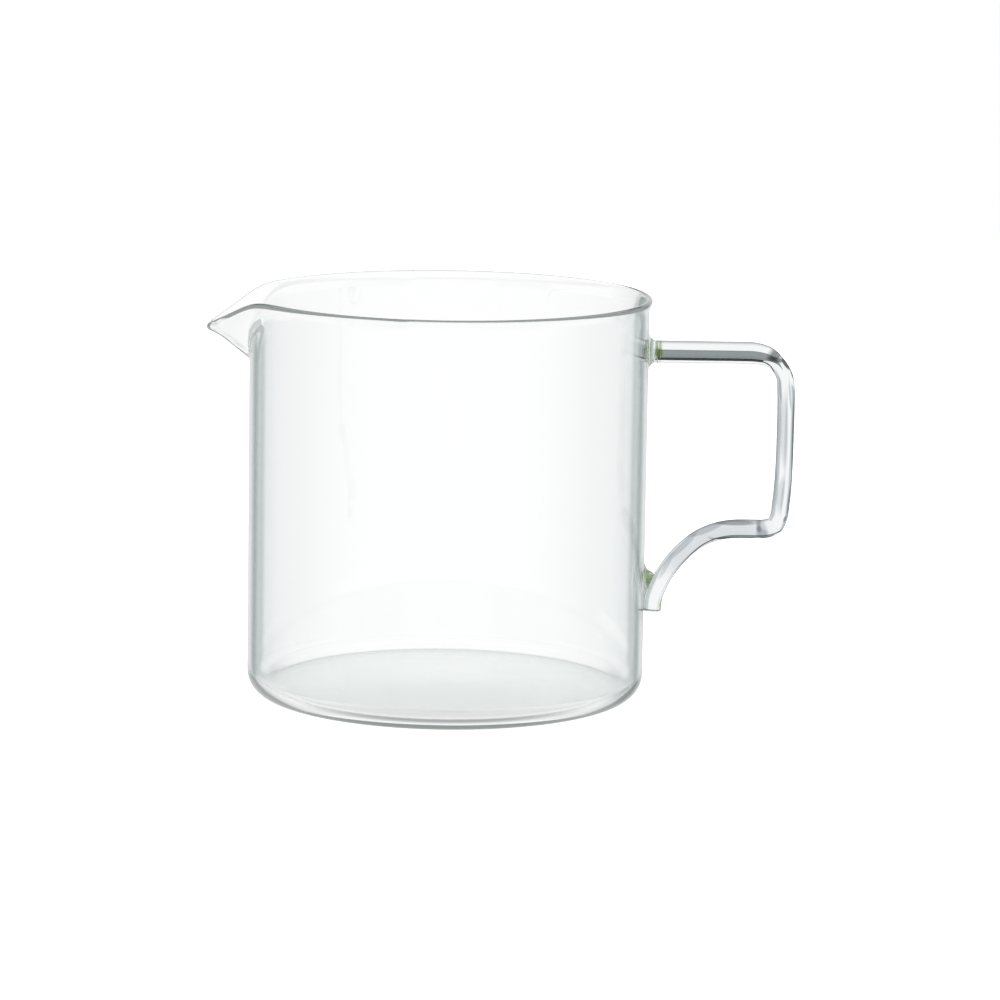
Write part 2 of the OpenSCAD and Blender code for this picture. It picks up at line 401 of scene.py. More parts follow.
class Body:
    """Sizes of the body in metres, taken from the frame and the properties."""

    def __init__(self, sizes):
        self.wall = sizes.wall
        self.half = sizes.wall / 2
        self.rim_half = sizes.rim / 2
        self.rim_r = BODY_HIGH.y
        self.out_r = self.rim_r - sizes.flare
        self.mid_r = self.out_r - self.half
        self.rim_mid_r = self.rim_r - self.rim_half
        self.top_z = BODY_HIGH.z - self.rim_half
        self.tip_x = -BODY_LOW.x - self.rim_half - (self.rim_mid_r - self.mid_r) - TIP_INSET
        self.sizes = sizes

    def lip_drop_at(self, reach):
        """How far the lip lies below the rim, at a distance from the axis towards the tip."""
        soft = LIP_SOFT * np.log1p(np.exp(np.clip((reach - LIP_START) / LIP_SOFT, -30, 30)))
        full = self.tip_x - LIP_START
        return self.sizes.lip_drop * soft / full

    def reach_at(self, turn, z):
        """Distance of the wall's middle from the axis, at a turn from the spout and a height."""
        keel = self.tip_x + (z - (self.top_z - self.sizes.lip_drop)) / math.tan(KEEL_SLOPE)
        side = math.tan(SIDE_ANGLE)
        # The rounding of the keel, from its radius
        tight = self.tip_x / self.sizes.keel_radius - 1
        middle = side + side / tight
        round_off = (-middle + math.sqrt(middle ** 2 + 4 * (1 / tight))) / 2
        across = np.sqrt(np.sin(turn) ** 2 + round_off ** 2)
        spout = keel * (round_off + side) / (across + np.cos(turn) * side)
        spout = np.where(np.cos(turn) > SPOUT_SIDE, spout, 0)
        rise = smooth_step((z - (self.top_z - SOFTER_FROM)) / SOFTER_FROM)
        soft = FOOT_SOFT + (LIP_CORNER_SOFT - FOOT_SOFT) * rise
        near = np.clip(soft - np.abs(spout - self.mid_r), 0, None) / soft
        return np.maximum(spout, self.mid_r) + near ** 3 * soft / 6

    def middle(self, turn, row):
        """Place of the wall's middle at a turn from the spout and a row, and how far below the lip it is.
        A row is the height where the spout doesn't pull it."""
        share = np.clip((row - PULL_Z) / (self.top_z - PULL_Z), 0, 1) ** 2
        drop = np.zeros_like(row)
        # The lip's height and its reach depend on each other, so they are brought together in half steps
        for _ in range(LIP_ROUNDS):
            drop = (drop + self.lip_drop_at(self.reach_at(turn, self.top_z - drop) * np.cos(turn))) / 2
        z = row - drop * share
        below = np.clip(self.top_z - drop - z, 0, None)
        flare = np.clip(1 - below / self.sizes.flare_height, 0, 1) ** 2
        reach = self.reach_at(turn, z) + (self.rim_mid_r - self.mid_r) * flare
        place = np.stack([-reach * np.cos(turn), -reach * np.sin(turn), z], -1)
        return place, flare

    def pull(self, places):
        """Moves the points of the plain spun wall to the flared and pulled one."""
        turn = np.arctan2(-places[:, 1], -places[:, 0])
        row = np.minimum(places[:, 2], self.top_z)
        above = np.clip(places[:, 2] - self.top_z, 0, None)
        aside = np.hypot(places[:, 0], places[:, 1]) - self.mid_r
        place, flare = self.middle(turn, row)
        turn_step = SLOPE_STEP / self.mid_r
        along = self.middle(turn + turn_step, row)[0] - self.middle(turn - turn_step, row)[0]
        up = self.middle(turn, row)[0] - self.middle(turn, row - SLOPE_STEP)[0]
        out = np.cross(along, up)
        out /= np.linalg.norm(out, axis=1, keepdims=True)
        out *= np.sign(np.sum(out * place * [1, 1, 0], axis=1, keepdims=True))
        rise = np.cross(out, along)
        rise /= np.linalg.norm(rise, axis=1, keepdims=True)
        rise *= np.sign(rise[:, 2:])
        thicker = smooth_step((-place[:, 0] - TIP_FULLER_START) / TIP_FULLER_LENGTH)
        fuller = 1 + (self.rim_half / self.half - 1 + TIP_FULLER * thicker) * flare
        foot = np.hypot(place[:, 1], place[:, 2] - CURL_Z) / CURL_SPREAD
        curl = CURL_DEPTH * np.clip(1 - foot ** 2, 0, 1) ** 2 * np.cos(CURL_TURNS * foot)
        aside = aside * fuller + np.where((aside < 0) & (np.cos(turn) > CURL_SIDE), curl, 0)
        return place + aside[:, None] * out + (above * fuller)[:, None] * rise

    def outline(self):
        """The spun outline as (radius, height), from the middle of the underside to that of the floor."""
        s = self.sizes
        heel = s.heel
        ring_out = self.out_r - heel
        ring_in = ring_out - s.foot_ring
        inner_heel = heel - self.wall
        inner_r = self.out_r - self.wall

        def hollow(base, radius):
            return base + s.push_up * smooth_step(1.0 - radius / ring_in) ** HOLLOW_POWER

        radii = np.linspace(0, ring_in, FLOOR_POINTS)
        under = [(r, float(hollow(0, r))) for r in radii]
        floor = [(r, float(hollow(s.floor, r))) for r in radii[::-1]]
        low_rows = list(np.arange(heel + WALL_ROW, PULL_Z - WALL_ROW / 2, WALL_ROW))
        pull_rows = list(np.linspace(PULL_Z, self.top_z, round((self.top_z - PULL_Z) / PULL_ROW) + 1))
        outer_rows = [(self.out_r, z) for z in low_rows + pull_rows]
        inner_rows = [(inner_r, z) for z in (low_rows + pull_rows)[::-1]]
        ring = [(ring_in + (ring_out - ring_in) * t, 0.0) for t in (0.25, 0.5, 0.75)]
        return (
            under
            + ring
            + arc((ring_out, heel), heel, -90, 0, HEEL_STEPS)
            + outer_rows
            + arc((self.mid_r, self.top_z), self.half, 0, 180, RIM_STEPS)[1:-1]
            + inner_rows
            + arc((ring_out, s.floor + inner_heel), inner_heel, 0, -90, INNER_HEEL_STEPS)
            + floor
        )


# Where each gather sits on the wall, as heights, and how far its softened patch spreads
GATHERS = ((73.0 * MM, 5.4 * MM), (23.3 * MM, 5.4 * MM))
# The patch is looked for on the inside of the wall only, this many walls deep and where the cosine of the
# turn from the handle is more than this, and it fades with this power
PATCH_DEPTH = 3
PATCH_SIDE = 0.5
PATCH_POWER = 1.5

# Spots where the wall's painted edge shade is lifted, as place, half sizes, turn and colour: each softened
# patch is painted clear, so that the wall shows bright there. The half sizes across the handle's plane are
# wide, so that the wall in front of a patch is clear with it
WALL_UNSHADED_PATCHES = (
    ((41.35, 0, 73.0), (1.5, 14, 5.6), 0, CLEAR),
    ((40.95, 0, 23.3), (1.35, 14, 5.6), 0, CLEAR),
)


# Painted shade against the angle of the surface, partly the long run of a glancing ray: clear until the wall
# is seen nearly edge on
WALL_EDGE_SHADE = (
    (0.0, "#FFFFFF"),
    (0.5, "#FDFDFD"),
    (0.66, "#F4F5F5"),
    (0.745, "#A3AAA9"),
    (0.82, "#B4BAB9"),
    (1.0, "#868C8B"),
)


def soften_wall(places, body, bulge):
    """Bulges the inside of the wall in behind each gather, where the flame softened it."""
    turn = np.arctan2(places[:, 1], places[:, 0])
    radius = np.hypot(places[:, 0], places[:, 1])
    inside = (radius < body.mid_r) & (radius > body.mid_r - PATCH_DEPTH * body.wall)
    inner = inside & (np.cos(turn) > PATCH_SIDE)
    for z, spread in GATHERS:
        away = np.hypot(radius * np.sin(turn), places[:, 2] - z)
        shift = np.where(inner, bulge * np.clip(1 - (away / spread) ** 2, 0, 1) ** PATCH_POWER, 0)
        places[:, 0] -= shift * np.cos(turn)
        places[:, 1] -= shift * np.sin(turn)
    return places


class SERVER_OT_glass_body(bpy.types.Operator):
    """Blown body with its floor, heel, rim and pulled spout"""

    bl_idname = "server.glass_body"
    bl_label = "Glass body"

    def execute(self, context):
        sizes = context.scene.server_body
        colours = context.scene.server_colours
        body = Body(sizes)
        points = [(-r, 0.0, z) for r, z in body.outline()]
        obj = start_outline("blown_body", points[0])
        draw_outline(points)
        axis = {"center": (0, 0, 0), "axis": (0, 0, 1)}
        bpy.ops.transform.rotate(value=SPOUT_SECTOR / 2, orient_axis="Z", center_override=(0, 0, 0))
        bpy.ops.mesh.spin(steps=SPOUT_STEPS, angle=SPOUT_SECTOR, **axis)
        bpy.ops.mesh.spin(steps=REST_STEPS, angle=2 * math.pi - SPOUT_SECTOR, **axis)
        bpy.ops.mesh.select_all(action="SELECT")
        bpy.ops.mesh.remove_doubles(threshold=BODY_MERGE)
        bpy.ops.object.mode_set(mode="OBJECT")
        places = points_of(obj)
        high = places[:, 2] > PULL_Z
        places[high] = body.pull(places[high])
        places = soften_wall(places, body, context.scene.server_handle.wall_bulge)
        put_points(obj, places)
        # Blown borosilicate glass, fire-polished: a smooth skin, dark only where the wall is seen edge on,
        # which is partly painted shade
        material = glass_material(
            "blown_borosilicate",
            deep=colours.body,
            depth=36 * MM,
            edge=WALL_EDGE_SHADE,
            wave_size=14 * MM,
            wave_depth=0.03 * MM,
            stretch=(1, 1, 0.25),
            stains_and_shade=WALL_UNSHADED_PATCHES,
            glow=0.12,
        )
        finish_piece(obj, "blown_body", material, "blown_glass", "glass_body")
        return {"FINISHED"}


# Handle: the rod's middle line in the plane of the handle, from the wall along the top bar, down the
# grip and back to the wall, as (reach, height, diameter) in millimetres
ROD_STATIONS = (
    (43.6, 73.60, 4.75), (50.0, 73.60, 4.72), (56.0, 73.60, 4.70), (61.0, 73.60, 4.70), (64.2, 73.52, 4.65),
    (66.7, 72.95, 4.20), (69.0, 71.20, 3.55), (70.45, 68.70, 3.60), (70.85, 65.60, 3.80), (70.93, 62.0, 3.75),
    (70.92, 57.6, 3.70), (70.88, 53.0, 3.70), (70.80, 49.0, 3.72), (70.62, 45.0, 3.76), (70.33, 41.6, 3.80),
    (69.90, 38.6, 3.82), (69.05, 36.95, 3.95), (67.35, 36.25, 4.05), (65.0, 36.15, 4.05), (62.6, 36.15, 4.05),
    (60.0, 36.05, 4.00), (57.6, 35.65, 3.92), (55.3, 34.90, 3.86), (53.1, 33.75, 3.82), (51.0, 32.15, 3.80),
    (49.0, 30.15, 3.80), (47.4, 28.20, 3.80), (46.1, 26.25, 3.80), (44.85, 23.7, 3.80), (43.95, 21.2, 3.80),
    (43.65, 18.3, 3.75), (43.60, 16.3, 3.75),
)
# Points round the rod and the length of one step along it
ROD_RING = 40
ROD_STEP = 0.55 * MM
# Painted shade against the angle of the surface, partly the long run of a glancing ray: a bright core and
# darker edges
ROD_EDGE_SHADE = ((0.0, "#FFFFFF"), (0.4, "#FFFFFF"), (0.7, "#BABEC1"), (1.0, "#9DA1A4"))


def rod_path(stations, step):
    """A smooth path through the stations, cut into even steps: places and diameters in metres."""
    knots = np.array(stations) * MM
    gaps = np.linalg.norm(np.diff(knots[:, :2], axis=0), axis=1)
    at = np.concatenate([[0], np.cumsum(gaps)])
    # Slopes of a smooth curve through the knots, from each pair of neighbours
    slopes = np.gradient(knots, at, axis=0)
    where = np.linspace(0, at[-1], int(round(at[-1] / step)) + 1)
    i = np.clip(np.searchsorted(at, where, side="right") - 1, 0, len(at) - 2)
    h = (at[i + 1] - at[i])[:, None]
    t = ((where - at[i]) / h[:, 0])[:, None]
    return (
        (2 * t ** 3 - 3 * t ** 2 + 1) * knots[i]
        + (t ** 3 - 2 * t ** 2 + t) * h * slopes[i]
        + (-2 * t ** 3 + 3 * t ** 2) * knots[i + 1]
        + (t ** 3 - t ** 2) * h * slopes[i + 1]
    )


# Painted shade and painted reflections in the rod, as place, half sizes, turn and colour: a grey cast from
# the lower bar to the foot, dark bands in the bend, light and dark streaks and dark edges down the grip, then
# those of the lower bar
ROD_PAINTED_SHADE = (
    ((56.0, 0, 33.0), (16.0, 6, 12.0), 0, "#E4E6E9"),
    ((68.2, 0, 72.5), (2.6, 4, 0.85), 12, "#43484B"),
    ((70.6, 0, 71.5), (2.2, 4, 0.60), 50, "#26292B"),
    ((72.1, 0, 69.3), (1.8, 4, 0.40), 70, "#34383A"),
    ((69.6, 0, 66.0), (0.35, 4, 4.0), -6, "#C2C6CA"),
    ((71.6, 0, 65.0), (0.30, 4, 4.6), -5, "#A9AEB2"),
    ((69.15, 0, 57.0), (0.42, 4, 13.0), 0, "#C4C8CC"),
    ((70.95, 0, 57.0), (0.42, 4, 12.0), 0, "#C6CACE"),
    ((72.45, 0, 56.0), (0.34, 4, 13.0), 0, "#5C6266"),
    ((68.85, 0, 44.0), (0.42, 4, 6.0), 5, "#C4C8CC"),
    ((70.55, 0, 43.5), (0.40, 4, 6.0), 5, "#C6CACE"),
    ((72.05, 0, 43.0), (0.34, 4, 6.0), 6, "#5C6266"),
    ((71.15, 0, 38.6), (0.40, 4, 1.0), 15, "#70767A"),
    ((65.8, 0, 36.4), (0.9, 4, 1.0), 0, "#8E9398"),
    ((66.5, 0, 35.6), (1.8, 4, 1.4), 0, "#BCC1C5"),
    ((60.5, 0, 37.6), (6.5, 4, 0.70), 0, "#7C8286"),
    ((54.6, 0, 36.0), (5.4, 4, 0.90), -22, "#B2B7BA"),
    ((60.0, 0, 34.3), (6.5, 4, 0.36), 0, "#5A5D5E"),
    ((50.0, 0, 32.6), (5.0, 4, 0.80), -46, "#BABFC2"),
    ((46.4, 0, 28.2), (4.4, 4, 0.70), -62, "#C0C5C8"),
)

# The seam where the foot of the rod is pressed against the lower gather, as (reach, height)
FOOT_Z = 18.3 * MM
SEAM = ((41.95 * MM, FOOT_Z), (42.1 * MM, 21.0 * MM), (42.9 * MM, 23.8 * MM), (43.95 * MM, 26.2 * MM))
# The foot is measured in this many rows of this half height, and only this far out from the axis
FOOT_ROWS = 24
FOOT_ROW_HALF = 0.5 * MM
FOOT_REACH = 50 * MM


class SERVER_OT_handle_rod(bpy.types.Operator):
    """Solid rod bent into the handle"""

    bl_idname = "server.handle_rod"
    bl_label = "Handle rod"

    def execute(self, context):
        colours = context.scene.server_colours
        path = rod_path(ROD_STATIONS, ROD_STEP)
        ways = np.arctan2(*np.gradient(path[:, :2], axis=0).T[::-1])
        start_clean()
        bpy.ops.mesh.primitive_circle_add(
            vertices=ROD_RING,
            radius=path[0, 2] / 2,
            fill_type="NGON",
            location=(path[0, 0], 0, path[0, 1]),
            rotation=(0, math.radians(90), 0),
        )
        obj = bpy.context.object
        bpy.ops.object.transform_apply(location=True, rotation=True, scale=True)
        bpy.ops.object.mode_set(mode="EDIT")
        for (a, b), turn in zip(zip(path, path[1:]), np.diff(ways)):
            bpy.ops.mesh.extrude_region_move(
                TRANSFORM_OT_translate={"value": (b[0] - a[0], 0, b[1] - a[1])}
            )
            here = (b[0], 0, b[1])
            bpy.ops.transform.rotate(value=turn, orient_axis="Y", center_override=here)
            bpy.ops.transform.resize(value=[b[2] / a[2]] * 3, center_override=here)
        # The foot is cut level
        bpy.ops.mesh.select_all(action="SELECT")
        bpy.ops.mesh.bisect(plane_co=(0, 0, FOOT_Z), plane_no=(0, 0, 1), use_fill=True, clear_inner=True)
        bpy.ops.object.mode_set(mode="OBJECT")
        places = points_of(obj)
        # The foot is spread until it lies on the seam
        level = places[:, 2]
        rows = np.linspace(FOOT_Z, SEAM[-1][1], FOOT_ROWS)
        near_row = [np.abs(level - row) < FOOT_ROW_HALF for row in rows]
        low_part = places[:, 0] < FOOT_REACH
        inner = np.interp(level, rows, [places[near & low_part, 0].min() for near in near_row])
        outer = np.interp(level, rows, [places[near & low_part, 0].max() for near in near_row])
        seam_x = np.interp(level, [z for x, z in SEAM], [x for x, z in SEAM])
        spread = seam_x + (places[:, 0] - inner) * (outer - seam_x) / (outer - inner)
        foot = low_part & (level < SEAM[-1][1])
        places[:, 0] = np.where(foot, np.maximum(spread, seam_x), places[:, 0])
        put_points(obj, places)
        # Drawn borosilicate rod, bent in the flame: a bright core, darker edges and streaks of painted shade
        # and painted reflections, and green stains at its ends
        material = glass_material(
            "drawn_borosilicate_rod",
            deep=colours.rod,
            depth=20 * MM,
            edge=ROD_EDGE_SHADE,
            wave_size=5 * MM,
            wave_depth=0.02 * MM,
            stretch=(1, 1, 1),
            stains_and_shade=(UPPER_STAIN, FOOT_STAIN) + ROD_PAINTED_SHADE,
        )
        finish_piece(obj, "bent_rod_handle", material, "rod_glass", "handle_rod")
        return {"FINISHED"}


# The front of the lower gather, as (reach, height): thin at the foot, and a wedge above it that ends in
# a notch between the wall and the rod
WEDGE_TOP = 28.2 * MM
WEDGE = SEAM + (
    (43.5 * MM, 26.55 * MM),
    (42.6 * MM, 26.95 * MM),
    (42.15 * MM, 27.5 * MM),
    (41.95 * MM, WEDGE_TOP),
)
# How full the wedge's sides are along its height and across its front, its least depth, and the points round
# it and up it
WEDGE_FULL = 1.02
WEDGE_ENDS = 3
WEDGE_FRONT = 2.5
WEDGE_LEAST = 0.15 * MM
WEDGE_RING = 48
WEDGE_STEPS = 32
# The collar: how far its neck stands off the wall, its points along the curve and its steps round
COLLAR_NECK = 1.5 * MM
COLLAR_POINTS = 16
COLLAR_STEPS = 56
# Tones against the angle of the surface, with the green cast of thick glass and painted shade towards the
# edges
GATHER_EDGE_SHADE = ((0.0, "#FFFFFF"), (0.6, "#F0F4EE"), (1.0, "#C4CCC0"))

# Where overheated glass keeps a green stain: at the seam of the top bar, in the lower wedge, and at the
# outer corner of the rod's foot
UPPER_STAIN = ((43.7, 0, 73.6), (1.45, 5, 1.6), 0, "#6F8848")
LOWER_STAIN = ((43.0, 0, 25.4), (1.1, 6, 3.2), 0, "#748C4C")
FOOT_STAIN = ((45.7, 0, 19.6), (0.7, 4, 1.9), 0, "#86A05F")

# How far a gather laps into the glass that it is fused with, so that no gap shows at a weld
WELD_LAP = 0.1 * MM


class SERVER_OT_gathers(bpy.types.Operator):
    """Gathers of glass that fuse the rod to the wall"""

    bl_idname = "server.gathers"
    bl_label = "Weld gathers"

    def execute(self, context):
        sizes = context.scene.server_handle
        colours = context.scene.server_colours
        body = Body(context.scene.server_body)
        # Fused borosilicate glass, thick and overheated, which leaves a green cast
        material = glass_material(
            "fused_borosilicate_gather",
            deep=colours.rod,
            depth=12 * MM,
            edge=GATHER_EDGE_SHADE,
            wave_size=3 * MM,
            wave_depth=0.03 * MM,
            stretch=(1, 1, 1),
            stains_and_shade=(UPPER_STAIN, LOWER_STAIN),
        )
        self.upper(sizes, body, material)
        self.lower(sizes, body, material)
        return {"FINISHED"}

    def upper(self, sizes, body, material):
        """A collar that flares from the rod to the wall, spun round the rod's line."""
        bar_z = ROD_STATIONS[0][1] * MM
        rod_r = ROD_STATIONS[0][2] * MM / 2
        seam_x = ROD_STATIONS[0][0] * MM + WELD_LAP
        wide = sizes.upper_gather / 2
        back_x = body.out_r - WELD_LAP
        edge_x = body.out_r - WELD_LAP / 2
        neck_x = body.out_r + COLLAR_NECK
        points = [(back_x, wide * share) for share in (0, 0.2, 0.4, 0.6, 0.8, 1)]
        for a in np.linspace(0, math.pi / 2, COLLAR_POINTS):
            points.append((neck_x - (neck_x - edge_x) * math.cos(a), wide - (wide - rod_r) * math.sin(a)))
        points += [(seam_x, rod_r * share) for share in (1, 0.66, 0.33, 0)]
        outline = [(x, 0.0, r) for x, r in points]
        obj = start_outline("upper_gather", outline[0])
        draw_outline(outline)
        bpy.ops.mesh.spin(steps=COLLAR_STEPS, angle=2 * math.pi, center=(0, 0, 0), axis=(1, 0, 0))
        bpy.ops.mesh.select_all(action="SELECT")
        bpy.ops.mesh.remove_doubles(threshold=COLLAR_MERGE)
        bpy.ops.object.mode_set(mode="OBJECT")
        places = points_of(obj)
        # The back follows the round wall
        near = np.clip((neck_x - places[:, 0]) / (neck_x - back_x), 0, 1)
        places[:, 0] -= near * (body.out_r - np.sqrt(body.out_r ** 2 - places[:, 1] ** 2))
        places[:, 2] += bar_z
        put_points(obj, places)
        finish_piece(obj, "upper_gather", material, "weld_glass", "upper_weld_pad")

    def lower(self, sizes, body, material):
        """A wedge between the wall and the foot of the rod, drawn up from a ring."""
        start_clean()
        bpy.ops.mesh.primitive_circle_add(
            vertices=WEDGE_RING, radius=2 * MM, fill_type="NGON", location=(0, 0, FOOT_Z)
        )
        obj = bpy.context.object
        bpy.ops.object.transform_apply(location=True, rotation=True, scale=True)
        bpy.ops.object.mode_set(mode="EDIT")
        rise = (0, 0, (WEDGE_TOP - FOOT_Z) / WEDGE_STEPS)
        for _ in range(WEDGE_STEPS):
            bpy.ops.mesh.extrude_region_move(TRANSFORM_OT_translate={"value": rise})
        bpy.ops.object.mode_set(mode="OBJECT")
        places = points_of(obj)
        turn = np.arctan2(places[:, 1], places[:, 0])
        level = (places[:, 2] - FOOT_Z) / (WEDGE_TOP - FOOT_Z)
        front = np.interp(places[:, 2], [z for x, z in WEDGE], [x for x, z in WEDGE]) + WELD_LAP
        width = sizes.lower_gather / 2 * np.sqrt(WEDGE_FULL - np.abs(2 * level - 1) ** WEDGE_ENDS)
        y = width * np.sin(turn)
        back = np.sqrt(body.out_r ** 2 - y ** 2) - WELD_LAP
        depth = np.clip(front - body.out_r + WELD_LAP, WEDGE_LEAST, None)
        crown = np.where(np.cos(turn) > 0, 1 - np.abs(np.sin(turn)) ** WEDGE_FRONT, 0)
        places[:, 0] = back + depth * crown
        places[:, 1] = y
        put_points(obj, places)
        finish_piece(obj, "lower_gather", material, "weld_glass", "lower_weld_pad")


# Stage: a pale table, a white surround with darker cards, and the camera

# The photograph's camera: distance, height angle, roll and the point that it looks at
VIEW_DISTANCE = 1015.71 * MM
VIEW_HEIGHT = math.radians(9.69)
VIEW_ROLL = math.radians(0.897)
VIEW_TARGET = Vector((11.134 * MM, 0, 41.48 * MM))
VIEW_LENS = 173.42
VIEW_SENSOR = 36
VIEW_CLIP = (0.01, 20)
TABLE_RADIUS = 900 * MM
TABLE_STEPS = 96
TABLE_ROUGHNESS = 0.9
TABLE_GLOW = 0.7


def add_camera():
    """Places the camera at the photograph's viewing angle."""
    back = Vector((0, -math.cos(VIEW_HEIGHT), math.sin(VIEW_HEIGHT)))
    bpy.ops.object.camera_add(location=VIEW_TARGET + back * VIEW_DISTANCE)
    camera = bpy.context.object
    camera.name = "photo_camera"
    turn = back.to_track_quat("Z", "Y").to_matrix() @ Matrix.Rotation(VIEW_ROLL, 3, "Z")
    camera.rotation_euler = turn.to_euler()
    camera.data.sensor_width = VIEW_SENSOR
    camera.data.lens = VIEW_LENS
    camera.data.clip_start, camera.data.clip_end = VIEW_CLIP
    bpy.context.scene.camera = camera


# Where the surround changes, as the cosine of the angle from a way for the openings between the cards, and as
# the sine of the height angle for the rest: each change starts at the first and ends at the second
AHEAD_OPEN = (math.cos(math.radians(29)), math.cos(math.radians(17)))
OTHER_OPEN = (math.cos(math.radians(32)), math.cos(math.radians(20)))
BACK_OPEN = (-0.1, 0.8)
CORNER_WAY = (-0.7071, 0.7071, 0)
LEVEL_LOOK = (-math.sin(math.radians(6.5)), -math.sin(math.radians(4.5)))
LOW_LOOK = (-math.sin(math.radians(12.5)), -math.sin(math.radians(14.0)))
TABLE_LOOK = (-math.sin(math.radians(24)), -math.sin(math.radians(38)))
GAP_RISE = (math.sin(math.radians(17.5)), math.sin(math.radians(20.5)))
GAP_FALL = (math.sin(math.radians(31)), math.sin(math.radians(25)))
SOFT_BOX = (math.sin(math.radians(25)), math.sin(math.radians(34)))
STEEP_LOOK = (-math.sin(math.radians(34)), -math.sin(math.radians(72)))
GAP_TONE = (0.03, 0.04, 0.038, 1)
STEEP_TONE = (0.42, 0.43, 0.44, 1)
SOFT_BOX_TONE = (1.15, 1.15, 1.15, 1)
WHITE = (1, 1, 1, 1)


def add_world(flag):
    """A white studio. Straight behind the server, as the camera sees it, the surround is plain white. What
    the glass bends or mirrors is white too, but for grey cards at the sides, a thin dark gap between them and
    the soft box overhead, and a grey floor far below."""
    world = bpy.data.worlds.new("soft_studio")
    bpy.context.scene.world = world
    world.use_nodes = True
    tree = world.node_tree
    tree.nodes.clear()
    way = node(tree, "ShaderNodeTexCoord").outputs["Generated"]
    height = node(tree, "ShaderNodeSeparateXYZ", links={"Vector": way}).outputs["Z"]
    level = node(tree, "ShaderNodeVectorMath", {"operation": "MULTIPLY"}, {1: (1, 1, 0)}, {0: way})
    flat = node(tree, "ShaderNodeVectorMath", {"operation": "NORMALIZE"}, links={0: level.outputs["Vector"]})
    # How far a ray looks along an axis: ahead of the photograph's camera, to the side, and along a corner
    values = {"height": height}
    for name, axis in (("ahead", (0, 1, 0)), ("side", (1, 0, 0)), ("corner", CORNER_WAY)):
        look = node(
            tree, "ShaderNodeVectorMath", {"operation": "DOT_PRODUCT"}, {1: axis}, {0: flat.outputs[0]}
        )
        values[name] = look.outputs["Value"]
    # Bands of the surround, each from the values before it
    for name, kind, settings, numbers, sources in (
        ("back", "ShaderNodeMath", {"operation": "MULTIPLY"}, {1: -1.0}, {0: "ahead"}),
        ("ahead_size", "ShaderNodeMath", {"operation": "ABSOLUTE"}, {}, {0: "ahead"}),
        ("side_size", "ShaderNodeMath", {"operation": "ABSOLUTE"}, {}, {0: "side"}),
        ("corner_size", "ShaderNodeMath", {"operation": "ABSOLUTE"}, {}, {0: "corner"}),
        ("square", "ShaderNodeMath", {"operation": "MAXIMUM"}, {}, {0: "ahead_size", 1: "side_size"}),
        ("open_ahead", "ShaderNodeMapRange", {}, AHEAD_OPEN, {0: "ahead"}),
        ("open_back", "ShaderNodeMapRange", {}, BACK_OPEN, {0: "back"}),
        ("front_view", "ShaderNodeMath", {"operation": "MAXIMUM"}, {}, {0: "open_ahead", 1: "open_back"}),
        ("corner_view", "ShaderNodeMapRange", {}, OTHER_OPEN, {0: "corner_size"}),
        ("side_view", "ShaderNodeMapRange", {}, OTHER_OPEN, {0: "square"}),
        ("low_view", "ShaderNodeMath", {"operation": "MAXIMUM"}, {}, {0: "front_view", 1: "corner_view"}),
        ("is_low", "ShaderNodeMapRange", {}, LOW_LOOK, {0: "height"}),
        ("is_level", "ShaderNodeMapRange", {}, LEVEL_LOOK, {0: "height"}),
        ("is_table", "ShaderNodeMapRange", {}, TABLE_LOOK, {0: "height"}),
        ("gap_rise", "ShaderNodeMapRange", {}, GAP_RISE, {0: "height"}),
        ("gap_fall", "ShaderNodeMapRange", {}, GAP_FALL, {0: "height"}),
        ("gap", "ShaderNodeMath", {"operation": "MULTIPLY"}, {}, {0: "gap_rise", 1: "gap_fall"}),
        ("soft_box", "ShaderNodeMapRange", {}, SOFT_BOX, {0: "height"}),
        ("below", "ShaderNodeMix", {"data_type": "FLOAT"}, {}, {0: "is_low", 2: "front_view", 3: "low_view"}),
        ("round", "ShaderNodeMix", {"data_type": "FLOAT"}, {}, {0: "is_level", 2: "below", 3: "side_view"}),
        ("open", "ShaderNodeMath", {"operation": "MAXIMUM"}, {}, {0: "round", 1: "is_table"}),
        ("cards", "ShaderNodeMix", {"data_type": "RGBA"}, {6: flag, 7: WHITE}, {0: "open"}),
        ("is_steep", "ShaderNodeMapRange", {}, STEEP_LOOK, {0: "height"}),
        ("shaded", "ShaderNodeMix", {"data_type": "RGBA"}, {7: STEEP_TONE}, {0: "is_steep", 6: "cards"}),
        ("gapped", "ShaderNodeMix", {"data_type": "RGBA"}, {7: GAP_TONE}, {0: "gap", 6: "shaded"}),
        ("lit", "ShaderNodeMix", {"data_type": "RGBA"}, {7: SOFT_BOX_TONE}, {0: "soft_box", 6: "gapped"}),
    ):
        if kind == "ShaderNodeMapRange":
            settings = {"interpolation_type": "SMOOTHSTEP"}
            numbers = {"From Min": numbers[0], "From Max": numbers[1]}
        made = node(tree, kind, settings, numbers, {key: values[source] for key, source in sources.items()})
        values[name] = made.outputs[2 if settings.get("data_type") == "RGBA" else 0]
    seen = node(
        tree,
        "ShaderNodeMix",
        {"data_type": "RGBA"},
        {7: WHITE},
        {0: node(tree, "ShaderNodeLightPath").outputs["Is Camera Ray"], 6: values["lit"]},
    )
    shine = node(tree, "ShaderNodeBackground", inputs={"Strength": 1.0}, links={"Color": seen.outputs[2]})
    node(tree, "ShaderNodeOutputWorld", links={"Surface": shine.outputs["Background"]})


# Cards hung behind the handle, out of the camera's sight, that the top bar of the rod shows upside down, as
# a grey band over a black line: name, low and high corner in millimetres as (x, z), and tone
CARDS = (
    ("bar_card", (46.2, 58.5), (70.7, 86.4), "#8A9493"),
    ("bar_flag", (46.2, 86.4), (69.4, 104.1), "#0A0D0C"),
)
CARDS_Y = 60 * MM
# Skins of glass that a ray may have crossed and still see a card: those of one piece
CARD_SKINS = 2.5


